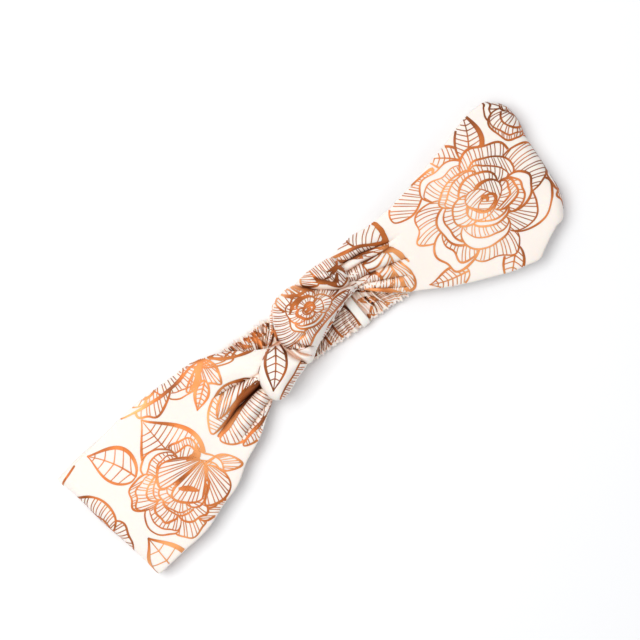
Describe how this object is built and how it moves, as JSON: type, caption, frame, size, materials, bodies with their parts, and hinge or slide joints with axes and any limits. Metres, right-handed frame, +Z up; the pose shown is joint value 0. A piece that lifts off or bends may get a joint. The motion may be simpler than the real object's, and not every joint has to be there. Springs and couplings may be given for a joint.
{
  "type": "knotted headband",
  "caption": "Wide fabric headband lying flat as a folded loop, its two printed bands tied into a knot at the front and gathered into a ruched elastic casing at the back.",
  "frame": {"origin": "middle of the underside of the flat-folded headband, on the surface that it rests on", "axes": "+X along the folded loop, +Y across the band, +Z up out of the knot"},
  "size_m": [0.258, 0.072, 0.027],
  "materials": {
    "foil_printed_cotton": "Warm white woven cotton with a line-art flower print in rose-gold foil",
    "ruched_cotton": "The same printed cotton, finely gathered over the elastic, with rippled edges and plain hems",
    "plain_cotton": "Raw inside of the cotton with an overlocked edge",
    "knitted_elastic": "White ribbed knitted elastic",
    "sewing_thread": "White polyester sewing thread"
  },
  "bodies": {
    "casing": {"elastic_casing": "ruched_cotton", "elastic_strip": "knitted_elastic", "casing_seam_allowance": "plain_cotton", "casing_join_strip": "plain_cotton"},
    "left_casing": {"left_casing_end": "ruched_cotton", "left_casing_hem": "ruched_cotton", "left_hem_topstitch": "sewing_thread", "left_elastic_bartack": "sewing_thread"},
    "right_casing": {"right_casing_end": "ruched_cotton", "right_casing_hem": "ruched_cotton", "right_hem_topstitch": "sewing_thread", "right_elastic_bartack": "sewing_thread"},
    "left_flap": {"left_back_band": "foil_printed_cotton", "left_gathered_end": "foil_printed_cotton", "left_back_seam_allowance": "plain_cotton"},
    "right_flap": {"right_back_band": "foil_printed_cotton", "right_gathered_end": "foil_printed_cotton", "right_back_seam_allowance": "plain_cotton"},
    "left_front": {"left_front_band": "foil_printed_cotton", "left_front_seam_allowance": "plain_cotton", "left_end_fold": "foil_printed_cotton", "left_neck": "foil_printed_cotton"},
    "right_front": {"right_front_band": "foil_printed_cotton", "right_front_seam_allowance": "plain_cotton", "right_end_fold": "foil_printed_cotton", "right_neck": "foil_printed_cotton"},
    "knot": {"knot_crossing": "foil_printed_cotton", "knot_front_wrap": "foil_printed_cotton", "knot_neck_wrap": "foil_printed_cotton", "knot_top_loop": "foil_printed_cotton", "knot_side_tuck": "foil_printed_cotton"}
  },
  "joints": [
    {"name": "left_flap_lift", "type": "hinge", "parent": "left_casing", "child": "left_flap", "pos_m": [-0.0561, 0.0169, 0.0023], "axis": [0, 1, 0], "range_deg": [0, 60]},
    {"name": "left_end_unfold", "type": "hinge", "parent": "left_flap", "child": "left_front", "pos_m": [-0.1234, 0.0035, 0.0059], "axis": [0, -1, 0], "range_deg": [0, 104.46]},
    {"name": "left_knot_bend", "type": "hinge", "parent": "left_front", "child": "knot", "pos_m": [-0.03, 0.007, 0.0099], "axis": [0, 1, 0], "range_deg": [0, 44.46]},
    {"name": "right_flap_lift", "type": "hinge", "parent": "right_casing", "child": "right_flap", "pos_m": [0.0561, 0.0031, 0.0023], "axis": [0, -1, 0], "range_deg": [0, 60]},
    {"name": "right_end_unfold", "type": "hinge", "parent": "right_flap", "child": "right_front", "pos_m": [0.1234, 0.004, 0.0059], "axis": [0, 1, 0], "range_deg": [0, 104.46]},
    {"name": "left_elastic_stretch", "type": "slide", "parent": "casing", "child": "left_casing", "axis": [-0.9925, 0.1219, 0], "range_m": [0, 0.00628]},
    {"name": "right_elastic_stretch", "type": "slide", "parent": "casing", "child": "right_casing", "axis": [0.9925, -0.1219, 0], "range_m": [0, 0.00628]}
  ],
  "couplings": [
    {"joint": "left_end_unfold", "follows": "left_flap_lift", "ratio": 1.741},
    {"joint": "left_knot_bend", "follows": "left_flap_lift", "ratio": 0.741},
    {"joint": "right_flap_lift", "follows": "left_flap_lift", "ratio": 1},
    {"joint": "right_end_unfold", "follows": "left_flap_lift", "ratio": 1.741},
    {"joint": "left_elastic_stretch", "follows": "left_flap_lift", "m_per_rad": 0.006},
    {"joint": "right_elastic_stretch", "follows": "left_flap_lift", "m_per_rad": 0.006}
  ]
}
